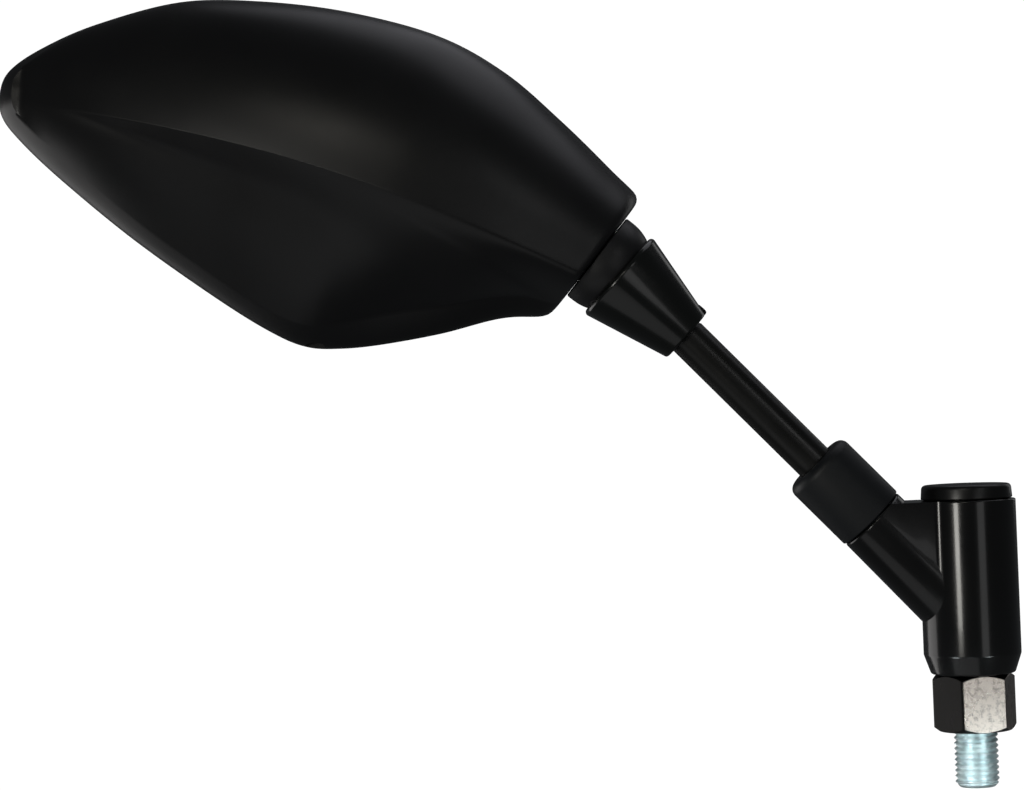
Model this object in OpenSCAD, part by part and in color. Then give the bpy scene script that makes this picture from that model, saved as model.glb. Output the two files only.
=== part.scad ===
// Motorcycle mirror, right-hand side: a sculpted head on a ball joint, a straight stem at an angle,
// and a Y-shaped holder that turns on a shouldered pivot bolt with an M10 stud end.
// Origin: on the stud's axis where its full thread ends, just under the lock nut. +Z runs up the stud,
// the head lies towards -X, the sculpted back of the head faces -Y and its glass faces +Y. Millimetres.

/* [Stud and lock nut] */
// Stud's thread diameter
stud_d = 10; // [8:1:12]
// Free length of stud
stud_free = 12.5; // [10:0.5:25]
// Thread's run-out between the stud's full thread and the lock nut
stud_relief = 0.5; // [0.3:0.1:1]
// Chamfer at the stud's end
stud_chamfer = 0.9; // [0.4:0.1:1.5]
// Lock nut's width across flats
nut_af = 17; // [16:1:19]
// Lock nut's height
nut_h = 13; // [9:0.5:16]
// Depth of the lock nut's corner chamfers
nut_chamfer = 1.3; // [0.6:0.1:2]
// Angle of the lock nut's flats about the stud
nut_turn = 7; // [0:1:59]

/* [Pivot] */
// Diameter of the bolt's shoulder, on which the holder turns
shoulder_d = 12; // [11:0.5:12]
// Diameter of the bolt's head
bolt_head_d = 16; // [14.5:0.5:16.5]
// Height of the bolt's head
bolt_head_h = 6.5; // [5:0.5:7.5]
// Hexagon socket in the bolt's head, across flats
bolt_socket_af = 8; // [5:1:10]
// Outer diameter of the two bushes
bush_d = 15; // [14:0.5:15.5]
// Free length of bore between the two bushes
bush_apart = 6.3; // [3:0.1:12]
// Thickness of a bush's flange
bush_flange = 1; // [0.8:0.1:1.5]
// Diameter of a bush's flange
bush_flange_d = 17.2; // [16.8:0.1:17.4]
// Thickness of the steel washer under the springs
washer_t = 1.2; // [0.8:0.1:2]
// Height of one disc spring
disc_spring_h = 1.2; // [1:0.1:1.6]
// Thickness of a disc spring's steel
disc_spring_t = 0.8; // [0.5:0.1:0.9]

/* [Holder] */
// Diameter of the upright barrel
barrel_d = 22.2; // [21.6:0.1:25]
// Height of the barrel
barrel_h = 39; // [36:0.5:50]
// Height of the taper at the barrel's foot
foot_h = 4.6; // [2:0.1:6]
// Diameter of the barrel's foot below that taper
foot_d = 19.2; // [18.8:0.1:20]
// Height on the stud's axis at which the stem's axis crosses it
cross_z = 26.4; // [22.5:0.1:28.5]
// Stem's lean away from the stud's axis
stem_lean = 43.1; // [38:0.1:50]
// Distance from that crossing to the arm's end face
arm_l = 32.3; // [30:0.1:40]
// Diameter of the arm at its end face
arm_d = 16.6; // [16:0.1:18]
// Diameter of the arm at the crossing
arm_root_d = 17.4; // [17:0.1:19]
// Thickness of the web between arm and barrel
web_t = 16.2; // [10:0.1:16.4]
// Radius of the hollow fillets between web and barrel
web_fillet = 3; // [1:0.5:4]
// Depth of the bore that takes the stem
stem_bore_l = 12; // [8:0.5:12.5]

/* [Pivot cap] */
// Diameter of the rubber cap
cap_d = 20.9; // [19:0.1:21.6]
// Height of the cap above the holder
cap_h = 4.2; // [3:0.1:6]
// Radius of the cap's upper edge
cap_round = 0.9; // [0.4:0.1:1.5]
// Depth of the cap's plug in the barrel
cap_plug = 3.6; // [2:0.1:4]

/* [Stem and boot] */
// Diameter of the stem
stem_d = 9; // [8.9:0.1:9.4]
// Distance from the crossing to the stem's bend inside the collar
stem_l = 92; // [75:0.5:120]
// Bend of the stem's tip, hidden in the collar
tip_bend = 2.9; // [0:0.1:4]
// Diameter of the stem's turned tip, which the collar sits on
tip_d = 8.6; // [8.3:0.1:8.7]
// Length of that turned tip
stem_in = 7.5; // [7.2:0.1:9]
// Diameter of the ball stud's shank
shank_d = 6; // [5:0.1:6.4]
// Diameter of the ball on the stem's tip
ball_d = 11.5; // [11:0.1:11.8]
// Distance from the bend to the ball's centre
ball_reach = 25.6; // [25:0.1:27]
// Length of the rubber boot
boot_l = 18; // [14:0.5:24]
// Outer diameter of the boot
boot_d = 17.1; // [16.8:0.1:19]
// Radius of the boot's upper edge
boot_round = 2; // [1:0.1:3]
// Boot's wall
boot_wall = 0.9; // [0.8:0.1:0.95]
// Jam nut's width across flats
jam_af = 13; // [12:0.5:13]
// Jam nut's height
jam_h = 5; // [4:0.5:7]

/* [Collar] */
// Diameter of the collar's narrow end
collar_d1 = 13; // [12.5:0.1:14]
// Diameter of the collar's wide end
collar_d2 = 22.6; // [22.2:0.1:24]
// Radius of the collar's wide rim
collar_round = 1.5; // [0.8:0.1:1.8]
// Length of the collar's bore at its narrow end
collar_bore_l = 6; // [4:0.5:7]
// Diameter of the collar's grub screw
grub_d = 3; // [2.5:0.1:3.2]
// Distance of the grub screw from the narrow end
grub_at = 2.1; // [1.8:0.1:4]
// How far the grub screw stands proud
grub_proud = 1.2; // [0.2:0.1:1.6]

/* [Ball joint] */
// Droop of the head's socket from the tip's axis, as the joint is set
head_droop = 3.9; // [0:0.1:6]
// Outer diameter of the socket's dome
dome_d = 22.4; // [22:0.1:23]
// Height of the dome that stands clear of the collar
dome_show = 4.4; // [3.5:0.1:5]
// Wall of the nylon liner round the ball
liner_t = 0.95; // [0.8:0.05:1.2]
// Half-angle of the liner's opening for the shank
liner_open = 49; // [48:1:52]
// Half-angle at which the liner ends
liner_end = 80; // [70:1:82]
// Diameter of the retaining ring's thread
ring_thread_d = 17.2; // [16.4:0.1:17.6]
// Diameter of the socket's neck
neck_d = 13.5; // [13:0.1:14.2]
// Bore of the neck, for seat and spring
neck_bore = 10.5; // [10:0.1:10.8]
// Depth of that bore, from the ball's centre
neck_bore_l = 14; // [12:0.5:16]
// Length of the rear seat
seat_l = 5; // [4:0.5:6]
// Wire of the seat's spring
spring_wire = 1.2; // [0.8:0.1:1.4]
// Turns of the seat's spring
spring_turns = 3; // [2:1:4]

/* [Head] */
// Slope of the head's long axis below the level
head_slope = 20; // [10:0.5:30]
// Thickness of the housing's wall
wall = 2.4; // [2:0.1:3]
// Distance of the housing's rim plane behind the ball's centre
rim_back = 10; // [9.5:0.1:12]
// Height of the housing's crest over its rim plane
crest_h = 31; // [27:0.5:34]
// Height of the housing at its neck over its rim plane
neck_h = 22.5; // [20:0.5:26]
// Height of the rim band under the crease
band_h = 8; // [6:0.5:10]
// Height of the rim wall over the crease
brow_h = 5; // [3:0.5:7]
// Width of the rim band under the crease
band_w = 4.2; // [3:0.1:5]
// Width of the rim wall over the crease
brow_w = 0.9; // [0.4:0.1:2]
// Extra width of the band at the housing's lower bend
band_swell = 2.8; // [0:0.1:4]
// Depth of the step below the crease
step_h = 5; // [2:0.5:7]
// Gap between the socket's equator and the housing's end wall
end_gap = 2; // [1.6:0.1:3]
// Diameter of the opening in the end wall
mouth_d = 17.4; // [16.4:0.1:18]
// Width of the drain notch in the rim's lower edge
drain_d = 4.6; // [3:0.2:5]
// Height of that notch's round centre over the rim's edge
drain_up = 1.9; // [1:0.1:3]

/* [Glass and its frame] */
// Depth of the pocket that takes the glass and its frame
pocket_h = 2.2; // [1.5:0.1:2.4]
// Share of the band's width by which the pocket is narrower
pocket_part = 0.45; // [0.3:0.05:0.7]
// Width of the glass frame
frame_w = 2.4; // [1.6:0.1:4]
// How far the glass frame stands out of the housing
frame_proud = 0.5; // [0.2:0.1:1.5]
// How far the middle of the glass stands out of the housing
glass_proud = 1.2; // [0.6:0.1:1.6]
// Thickness of the glass
glass_t = 2; // [1.8:0.1:3]
// Radius of the glass's convex face
glass_r = 1200; // [900:50:2000]
// Thickness of the foam pad
pad_t = 1; // [0.8:0.1:1.5]
// Thickness of the carrier plate
carrier_t = 2.2; // [1.8:0.1:3]

/* [Bracket and screws] */
// Thickness of the bracket's plate
plate_t = 4; // [3:0.5:5]
// Length of the bracket's plate, from the ball's centre
plate_l = 44; // [38:1:50]
// Diameter of the screws' threads
screw_d = 4; // [3:0.5:4.5]
// Diameter of the screws' heads
screw_head_d = 7.4; // [6.5:0.1:8]
// Height of the screws' heads
screw_head_h = 2.4; // [2:0.1:3]
// Diameter of the housing's bosses
boss_d = 8; // [7:0.5:9]

/* [Hidden] */
$fn = 72;

// Small gaps: running fits, faces that only meet, and loose covers
run_gap = 0.05;
face_gap = 0.05;
tiny = 0.01;
thread_depth = 0.8;
far_off = 60;

// Heights up the pivot
nut_bore_d = stud_d - thread_depth;
nut_z = stud_relief;
barrel_z = nut_z + nut_h + 2 * face_gap;
barrel_top = barrel_z + barrel_h;
bore_d = bush_d + 2 * tiny;
recess_d = bush_flange_d + 2 * run_gap;
lower_flange_z = nut_z + nut_h + face_gap;
head_room = 1;
floor_z = barrel_top - cap_plug - head_room - bolt_head_h - 2 * disc_spring_h - washer_t - bush_flange;
bush_l = (floor_z - lower_flange_z - bush_flange - bush_apart) / 2;
washer_z = floor_z + bush_flange + face_gap;
springs_z = washer_z + washer_t + face_gap;
bolt_head_z = springs_z + 2 * disc_spring_h + face_gap;
counterbore_d = max(bush_flange_d, bolt_head_d) + 0.6;

// Places up the stem and in the joint
bore_end = arm_l - stem_bore_l;
boot_z = arm_l + 0.2;
collar_l = ball_reach - dome_show;
dome_r = dome_d / 2;
ball_r = ball_d / 2;
liner_r1 = ball_r + run_gap;
liner_r2 = liner_r1 + liner_t;
socket_r = liner_r2 + run_gap;
collar_seat_r = dome_r + 0.15;
tip_lean = stem_lean + tip_bend;
dome_lean = tip_lean + head_droop;
bend_x = -stem_l * sin(stem_lean);
bend_z = cross_z + stem_l * cos(stem_lean);
ball_x = bend_x - ball_reach * sin(tip_lean);
ball_z = bend_z + ball_reach * cos(tip_lean);
seat_z = ball_r * 0.55;
neck_l = neck_bore_l + 2;

// The rib along the bracket's plate, between the screw posts
rib_w = 2.4;
rib_h = 3;
rib_z = -3.6;
rib_end = 10;

// Screws through the bracket into the housing, and through the carrier into posts, in the head's u, v
bracket_holes = [[plate_l - 5, 12], [plate_l - 5, -6], [21, 4]];
carrier_holes = [[66, 22], [100, 4], [62, -17]];
cup_floor = 1.5;
post_y = 3.25;
cup_y = post_y + face_gap;
screw_in = 7;

// Frames: up the stem, up its tip, along the socket's axis, and the head's own
module on_stem() translate([0, 0, cross_z]) rotate([0, -stem_lean, 0]) children();
module on_tip() translate([bend_x, 0, bend_z]) rotate([0, -tip_lean, 0]) children();
module on_socket() translate([ball_x, 0, ball_z]) rotate([0, -dome_lean, 0]) children();
module in_head() translate([ball_x, 0, ball_z]) rotate([0, head_slope, 0]) children();

module hexagon(across, high) cylinder(d = across / cos(30), h = high, $fn = 6);

// Hex nut with chamfered corners and a round bore
module hex_nut(across, high, bore, chamfer) {
    wide = across / cos(30);
    difference() {
        intersection() {
            hexagon(across, high);
            rotate_extrude()
                polygon([[0, 0], [across / 2 - 0.2, 0], [wide / 2 + 0.2, chamfer],
                    [wide / 2 + 0.2, high - chamfer], [across / 2 - 0.2, high], [0, high]]);
        }
        translate([0, 0, -1])
            cylinder(d = bore, h = high + 2);
    }
}

// Zinc-plated shouldered bolt: socket head, shoulder and M10 end
module pivot_bolt() {
    color("lightsteelblue")
        difference() {
            rotate_extrude()
                polygon([[0, -stud_free], [stud_d / 2 - stud_chamfer, -stud_free],
                    [stud_d / 2, stud_chamfer - stud_free], [stud_d / 2, 0],
                    [nut_bore_d / 2, 0], [nut_bore_d / 2, nut_z + nut_h],
                    [shoulder_d / 2, nut_z + nut_h], [shoulder_d / 2, bolt_head_z],
                    [bolt_head_d / 2, bolt_head_z], [bolt_head_d / 2, bolt_head_z + bolt_head_h - 0.6],
                    [bolt_head_d / 2 - 0.6, bolt_head_z + bolt_head_h], [0, bolt_head_z + bolt_head_h]]);
            translate([0, 0, bolt_head_z + bolt_head_h * 0.4])
                hexagon(bolt_socket_af, bolt_head_h);
        }
}

module lock_nut() {
    color([0.1, 0.1, 0.11])
        translate([0, 0, nut_z])
            rotate([0, 0, nut_turn + 30])
                hex_nut(nut_af, nut_h, nut_bore_d, nut_chamfer);
}

module spring_washer() {
    color("silver")
        translate([0, 0, washer_z])
            difference() {
                cylinder(d = bush_flange_d - 0.4, h = washer_t);
                translate([0, 0, -1])
                    cylinder(d = shoulder_d + 0.2, h = washer_t + 2);
            }
}

// One coned disc spring, with its rim down
module disc_spring() {
    inner = shoulder_d / 2 + 0.15;
    outer = bolt_head_d / 2;
    rise = disc_spring_h - disc_spring_t;
    rotate_extrude()
        polygon([[inner, rise], [outer, 0], [outer, disc_spring_t], [inner, disc_spring_h]]);
}

module disc_springs() {
    color("dimgray")
        translate([0, 0, springs_z]) {
            disc_spring();
            translate([0, 0, 2 * disc_spring_h])
                mirror([0, 0, 1])
                    disc_spring();
        }
}

// Nylon bush with a flange at its lower end
module bush() {
    difference() {
        union() {
            cylinder(d = bush_flange_d, h = bush_flange);
            cylinder(d = bush_d, h = bush_flange + bush_l);
        }
        translate([0, 0, -1])
            cylinder(d = shoulder_d + 2 * run_gap, h = bush_flange + bush_l + 2);
    }
}

module lower_bush() {
    color("ivory")
        translate([0, 0, lower_flange_z])
            bush();
}

module upper_bush() {
    color("ivory")
        translate([0, 0, floor_z + bush_flange])
            mirror([0, 0, 1])
                bush();
}

// Die-cast Y: barrel, arm and the flat web between them, with the pivot's and the stem's bores
module holder() {
    web_edge = sqrt(pow(barrel_d / 2, 2) - pow(web_t / 2, 2));
    reach = barrel_d / 2 + web_fillet;
    fillet_x = -sqrt(reach * reach - pow(web_t / 2 + web_fillet, 2));
    tangent_x = fillet_x * (barrel_d / 2) / reach;
    tangent_y = (web_t / 2 + web_fillet) * (barrel_d / 2) / reach;
    color([0.06, 0.06, 0.06])
        difference() {
            union() {
                translate([0, 0, barrel_z])
                    rotate_extrude()
                        polygon([[0, 0], [foot_d / 2 - 0.4, 0], [foot_d / 2, 0.4], [barrel_d / 2, foot_h],
                            [barrel_d / 2, barrel_h - 0.3], [barrel_d / 2 - 0.3, barrel_h], [0, barrel_h]]);
                on_stem()
                    rotate_extrude()
                        polygon([[0, 0], [arm_root_d / 2, 0], [arm_d / 2, arm_l - 0.5],
                            [arm_d / 2 - 0.5, arm_l], [0, arm_l]]);
                web(web_t / 2);
                intersection() {
                    linear_extrude(height = barrel_top)
                        for (side = [-1, 1])
                            difference() {
                                polygon([[0, 0], [fillet_x, 0], [fillet_x, side * web_t / 2],
                                    [tangent_x, side * tangent_y], [0, side * tangent_y]]);
                                translate([fillet_x, side * (web_t / 2 + web_fillet)])
                                    circle(r = web_fillet);
                            }
                    web(barrel_d / 2);
                }
            }
            translate([0, 0, barrel_z - 1])
                cylinder(d = bore_d, h = barrel_h);
            translate([0, 0, barrel_z - 1])
                cylinder(d = recess_d, h = 1 + lower_flange_z + bush_flange + face_gap - barrel_z);
            translate([0, 0, floor_z])
                cylinder(d = counterbore_d, h = barrel_h);
            on_stem()
                translate([0, 0, bore_end])
                    cylinder(d = stem_d + 2 * run_gap, h = stem_bore_l + 1);
        }
}

// The web's outline, from the stem's axis to the barrel's, as thick as two halves
module web(half) {
    end_x = -arm_l * sin(stem_lean);
    end_z = cross_z + arm_l * cos(stem_lean);
    top_x = end_x + (barrel_top - end_z) * cos(stem_lean) / sin(stem_lean);
    rotate([90, 0, 0])
        linear_extrude(height = 2 * half, center = true)
            polygon([[0, cross_z], [0, barrel_top], [top_x, barrel_top], [end_x, end_z]]);
}

// Soft plug cap over the bolt's head
module pivot_cap() {
    r = cap_d / 2;
    color([0.05, 0.05, 0.05])
        translate([0, 0, barrel_top])
            rotate_extrude()
                polygon(concat([[0, 0], [0, cap_h], [r - cap_round - 0.3, cap_h]],
                    [for (a = [75:-15:0])
                        [r - 0.25 - cap_round + cap_round * cos(a), cap_h - cap_round + cap_round * sin(a)]],
                    [[r, 0.5], [r - 0.2, 0.05], [counterbore_d / 2 - 0.05, 0.05],
                        [counterbore_d / 2 - 0.05, -cap_plug], [counterbore_d / 2 - 1.4, -cap_plug],
                        [counterbore_d / 2 - 1.4, 0]]));
}

// Steel stem: straight rod, bent tip with a necked shank, and the ball
module stem() {
    color([0.09, 0.09, 0.09])
        union() {
            on_stem()
                translate([0, 0, bore_end + 0.5])
                    cylinder(d = stem_d, h = stem_l - bore_end - 0.5 - stem_d / 2 * sin(tip_bend) - tiny);
            on_tip() {
                translate([0, 0, -1])
                    cylinder(d = tip_d, h = stem_in + 1);
                cylinder(d = shank_d, h = ball_reach);
                translate([0, 0, ball_reach])
                    sphere(d = ball_d);
            }
        }
}

module jam_nut() {
    color("silver")
        on_stem()
            translate([0, 0, arm_l])
                hex_nut(jam_af, jam_h, stem_d, 0.6);
}

// Rubber boot over the jam nut, open below
module stem_boot() {
    r = boot_d / 2;
    hole = stem_d / 2;
    color([0.1, 0.11, 0.12])
        on_stem()
            translate([0, 0, boot_z])
                rotate_extrude()
                    polygon(concat([[r - boot_wall, 0], [r - 0.2, 0], [r, 0.2]],
                        [for (a = [0:15:90])
                            [r + boot_round * (cos(a) - 1), boot_l + boot_round * (sin(a) - 1)]],
                        [[hole + 0.8, boot_l], [hole + 0.5, boot_l - 0.5], [hole, boot_l - 1],
                            [hole, jam_h + 2], [r - boot_wall, jam_h + 1]]));
}

// Tapered collar: slides on the stem and cups the socket's dome
module collar() {
    r1 = collar_d1 / 2;
    r2 = collar_d2 / 2;
    color([0.05, 0.05, 0.05])
        on_tip()
            difference() {
                rotate_extrude()
                    polygon(concat([[0, 0], [r1 - 0.8, 0], [r1 - 0.2, 0.25], [r1, 0.8]],
                        [for (a = [0:18:90])
                            [r2 + collar_round * (cos(a) - 1), collar_l + collar_round * (sin(a) - 1)]],
                        [[0, collar_l]]));
                translate([0, 0, -1])
                    cylinder(d = tip_d + 2 * run_gap, h = collar_l);
                translate([0, 0, collar_bore_l])
                    cylinder(d1 = tip_d + 2 * run_gap, d2 = tip_d + 5, h = collar_l - collar_bore_l);
                translate([0, 0, ball_reach])
                    sphere(r = collar_seat_r);
                translate([0, 0, grub_at])
                    rotate([0, 90, 0])
                        cylinder(d = grub_d + 0.04, h = r2);
            }
}

module collar_screw() {
    socket = grub_d * 0.5;
    length = collar_d1 / 2 + grub_proud - tip_d / 2 - face_gap;
    color([0.03, 0.03, 0.03])
        on_tip()
            translate([collar_d1 / 2 + grub_proud, 0, grub_at])
                rotate([0, -90, 0])
                    difference() {
                        cylinder(d = grub_d, h = length);
                        translate([0, 0, -1])
                            hexagon(socket, 1 + length * 0.4);
                    }
}

// Nylon liner: a ring cut from a hollow sphere
module ball_liner() {
    steps = 8;
    span = [for (i = [0:steps]) liner_open + (liner_end - liner_open) * i / steps];
    color("ivory")
        on_socket()
            rotate_extrude()
                polygon(concat([for (a = span) [liner_r1 * sin(a), -liner_r1 * cos(a)]],
                    [for (i = [steps:-1:0]) [liner_r2 * sin(span[i]), -liner_r2 * cos(span[i])]]));
}

// Nylon seat behind the ball
module rear_seat() {
    color("ivory")
        on_socket()
            difference() {
                translate([0, 0, seat_z])
                    cylinder(d = neck_bore - 2 * run_gap, h = seat_l);
                sphere(r = ball_r + run_gap);
            }
}

// Coil spring: a helix of round wire, its ring computed turn by turn
module seat_spring() {
    z0 = seat_z + seat_l + spring_wire / 2;
    z1 = neck_bore_l - spring_wire / 2;
    coil_r = neck_bore / 2 - spring_wire / 2 - 0.25;
    sides = 8;
    steps = 16 * spring_turns;
    ring = function (i) let (a = 360 * spring_turns * i / steps, z = z0 + (z1 - z0) * i / steps)
        [for (k = [0:sides - 1]) let (b = 360 * k / sides, r = coil_r + spring_wire / 2 * cos(b))
            [r * cos(a), r * sin(a), z + spring_wire / 2 * sin(b)]];
    color("silver")
        on_socket()
            polyhedron([for (i = [0:steps]) each ring(i)],
                concat([[for (k = [sides - 1:-1:0]) k]],
                    [for (i = [0:steps - 1]) for (k = [0:sides - 1]) let (n = (k + 1) % sides)
                        each [[i * sides + k, (i + 1) * sides + n, (i + 1) * sides + k],
                            [i * sides + k, i * sides + n, (i + 1) * sides + n]]],
                    [[for (k = [0:sides - 1]) steps * sides + k]]));
}

// Steel ring screwed into the dome: keeps liner and ball, its hole lets the shank tilt
module socket_ring() {
    color("gray")
        on_socket()
            difference() {
                union() {
                    intersection() {
                        sphere(r = dome_r);
                        translate([0, 0, -dome_r])
                            cylinder(r = dome_r, h = dome_r - 5.6);
                    }
                    translate([0, 0, -6])
                        cylinder(d = ring_thread_d, h = 6);
                }
                sphere(r = socket_r);
                translate([0, 0, -dome_r - 1])
                    cylinder(r1 = 7.4, r2 = 4.95, h = dome_r - 3.6);
            }
}

// Die-cast bracket in the head: socket dome, neck with its bore, and a ribbed plate
module head_bracket() {
    color("gray")
        difference() {
            union() {
                on_socket() {
                    intersection() {
                        sphere(r = dome_r);
                        translate([0, 0, -5.5])
                            cylinder(r = dome_r, h = 5.5);
                    }
                    rotate_extrude()
                        polygon([[0, -tiny], [dome_r, -tiny], [dome_r, 0.2], [dome_r - 0.3, 0.5],
                            [neck_d / 2, end_gap + 0.2], [neck_d / 2, neck_l], [0, neck_l]]);
                }
                in_head()
                    bracket_plate();
            }
            on_socket() {
                translate([0, 0, -6])
                    cylinder(d = ring_thread_d + 0.02, h = 6 + face_gap);
                sphere(r = socket_r);
                cylinder(d = neck_bore, h = neck_bore_l);
            }
            in_head() {
                for (p = bracket_holes)
                    across(p, -plate_t)
                        cylinder(d = screw_d + 0.4, h = 2 * plate_t);
            }
        }
}

// Places in the head at u, v, facing backwards from a depth
module across(p, y) translate([-p[0], y, p[1]]) rotate([-90, 0, 0]) children();

// The plate's outline with a rib along it, in the head's frame
module bracket_plate() {
    start = neck_bore_l;
    rotate([90, 0, 0])
        linear_extrude(height = plate_t, center = true)
            union() {
                polygon([[-start, -5], [-start, 8], [-24, 11], [-plate_l + 5, 17.5], [-plate_l, 12],
                    [-plate_l, -6], [-plate_l + 5, -11.5], [-24, -4]]);
                for (p = bracket_holes)
                    translate([-p[0], p[1]])
                        circle(r = 5.5);
            }
    translate([-plate_l + rib_end, -plate_t / 2 - rib_h, rib_z])
        cube([plate_l - rib_end - start, plate_t / 2 + rib_h, rib_w]);
}

// Pan-head screw, its head up, with a cross recess left out
module screw(length) {
    difference() {
        union() {
            rotate_extrude()
                polygon([[0, 0], [screw_head_d / 2, 0], [screw_head_d / 2, screw_head_h * 0.5],
                    [screw_head_d / 2 - 0.9, screw_head_h], [0, screw_head_h]]);
            translate([0, 0, -length])
                cylinder(d = screw_d, h = length + 0.1);
        }
        translate([0, 0, screw_head_h * 0.4])
            cylinder(d = 2.6, h = screw_head_h, $fn = 4);
    }
}

module bracket_screws() {
    color("silver")
        in_head()
            for (p = bracket_holes)
                across(p, plate_t / 2)
                    screw(plate_t + 7);
}

// The head's outline at its rim, u from the ball towards the tip and v up, closed by a smooth curve.
// The last few points run past the end wall, which cuts them off.
rim_points = [[145.9, -4.6], [145.2, 1], [139.6, 8.2], [129.1, 17.4], [112.2, 28.2], [94.4, 34.1],
    [73.9, 38], [52.4, 39], [35.1, 35.6], [19.3, 28.9], [5, 21.7], [-6, 15.5], [-12, 6], [-14, -4.6],
    [-8, -11], [8.9, -16], [18.6, -19.4], [30.8, -27], [43.4, -33.7], [52, -37.4], [59.5, -39.4],
    [68, -38.8], [82.3, -35.3], [105.4, -28], [126, -19.8], [138, -14], [143.8, -9.8]];
rim_steps = 3;
rim_n = len(rim_points) * rim_steps;
rings = 9;

// A point on the closed curve through the points, at i steps
function curve(p, i) =
    let (n = len(p), k = floor(i / rim_steps), t = i / rim_steps - k,
        a = p[(k + n - 1) % n], b = p[k % n], c = p[(k + 1) % n], d = p[(k + 2) % n])
    0.5 * (2 * b + (c - a) * t + (2 * a - 5 * b + 4 * c - d) * t * t + (3 * b - a - 3 * c + d) * t * t * t);

rim = [for (i = [0:rim_n - 1]) curve(rim_points, i)];

// Unit vectors from the rim's samples into the head
inward = [for (i = [0:rim_n - 1])
    let (a = rim[(i + rim_n - 1) % rim_n], b = rim[(i + 1) % rim_n], d = (b - a) / norm(b - a))
    [-d[1], d[0]]];

function smooth(x) = let (t = max(0, min(1, x))) t * t * (3 - 2 * t);

// The crease: a shallow bow from near the tip to the neck
crease_tip = 130.5;
crease_neck = 4.7;
crease_bow = 4.5;
crease_v = -4.6;
function crease(u) = let (share = (crease_tip - u) / (crease_tip - crease_neck))
    crease_v + crease_bow * sin(180 * max(0, min(1, share)));

// Width and height of the rim band at a rim point: wide below the crease, narrow over it
function over(p) = max(smooth((p[1] - crease(p[0]) + 4) / 7), smooth((14 - p[0]) / 16));
function band_width(p) = let (low = band_w + band_swell * exp(-pow((p[0] - 40) / 18, 2)))
    low + (brow_w - low) * over(p);
function band_height(p) = band_h + (brow_h - band_h) * over(p);

// The band's inner edge, where the back begins, for the outer skin or the inner one
function shore(thick) = [for (i = [0:rim_n - 1]) rim[i] + inward[i] * (band_width(rim[i]) + thick)];
neck_sample = 13 * rim_steps;

// Height of the crease over the rim plane: from the tip up to the crest, then down to the neck
tip_end = 141;
crest_u = 50;
neck_end = -12.6;
function crest(u, thick) =
    u > crest_u ?
    band_h + (crest_h - band_h) * pow(1 - pow(min(1, (u - crest_u) / (tip_end - crest_u)), 2), 0.85) :
    let (high = crest_h - (crest_h - neck_h) * pow((crest_u - u) / crest_u, 1.7))
    brow_h + (high - brow_h) * sqrt(max(0, 1 - pow(max(0, (2 - u) / (2 - neck_end - thick)), 2)));

// Drop under the crease: a facet, steep at first, that widens from the tip and softens to the neck
function facet_width(u) = u > 67 ? 0.14 * max(4, crease_tip - u) : 8.9 + 0.25 * (67 - u);
function facet(m, u, t) = let (x = -m / facet_width(u))
    step_h * smooth((crease_tip - u) / 70) * (0.35 + 0.65 * smooth((u - 5) / 50))
    * x / pow(1 + pow(x, 6), 1 / 6) * (1 - t * t);

// Height of the back over the rim plane at u, and at m above the crease
function side_table(edge, from, to) =
    [for (i = [from:to]) let (q = edge[i % rim_n]) [q[0], q[1] - crease(q[0])]];
function height(u, m, low, thick, above, below) =
    let (t = min(1, abs(m) / max(0.05, abs(lookup(u, m > 0 ? above : below)))),
        top = max(low, crest(u, thick)),
        shape = m > 0 ? pow(1 - pow(t, 2.4), 0.62) : 1 - pow(t, 1.7))
    low + (top - low) * shape - (m > 0 ? 0 : facet(m, u, t));

// A point of the back at a share of the way from the pole on the crease to the band's inner edge
pole_u = 75;
function back_point(i, share, thick, edge, above, below) =
    let (far = [edge[i][0] - pole_u, edge[i][1] - crease(edge[i][0])],
        u = pole_u + share * far[0], m = share * far[1], low = band_height(rim[i]))
    [-u, thick - (share == 1 ? low : height(u, m, low, thick, above, below)), m + crease(u)];

// Closed body under the back: rings down to the band, the rim or pocket, and a flat face behind
module back_body(thick, skirt, deep) {
    edge = shore(thick);
    above = side_table(edge, 0, neck_sample);
    below = side_table(edge, neck_sample, rim_n);
    levels = [for (r = [1:rings]) 1 - pow(1 - r / rings, 1.5)];
    mouth = [for (i = [0:rim_n - 1]) rim[i] + inward[i] * (thick > 0 ? pocket(i) : 0)];
    points = concat([back_point(0, 0, thick, edge, above, below)],
        [for (r = levels) for (i = [0:rim_n - 1]) back_point(i, r, thick, edge, above, below)],
        [for (i = [0:rim_n - 1]) [-mouth[i][0], deep, mouth[i][1]]],
        [for (i = [0:rim_n - 1]) [-mouth[i][0], skirt, mouth[i][1]]]);
    last = rings + 1;
    fan = [for (i = [0:rim_n - 1]) [0, 1 + i, 1 + (i + 1) % rim_n]];
    sides = [for (r = [0:last - 1]) for (i = [0:rim_n - 1])
        let (a = 1 + r * rim_n, b = a + rim_n, j = (i + 1) % rim_n)
        each [[a + i, b + j, a + j], [a + i, b + i, b + j]]];
    base = [[for (i = [rim_n - 1:-1:0]) 1 + last * rim_n + i]];
    translate([0, rim_back, 0])
        polyhedron(points, concat(fan, sides, base));
}

// Distance of the glass's pocket from the rim's outer edge
function pocket(i) = wall + pocket_part * band_width(rim[i]);

// Everything on the stem's side of a plane across the socket's axis
module stem_side(at) {
    on_socket()
        translate([-far_off, -far_off, at - far_off])
            cube([2 * far_off, 2 * far_off, far_off]);
}

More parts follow.
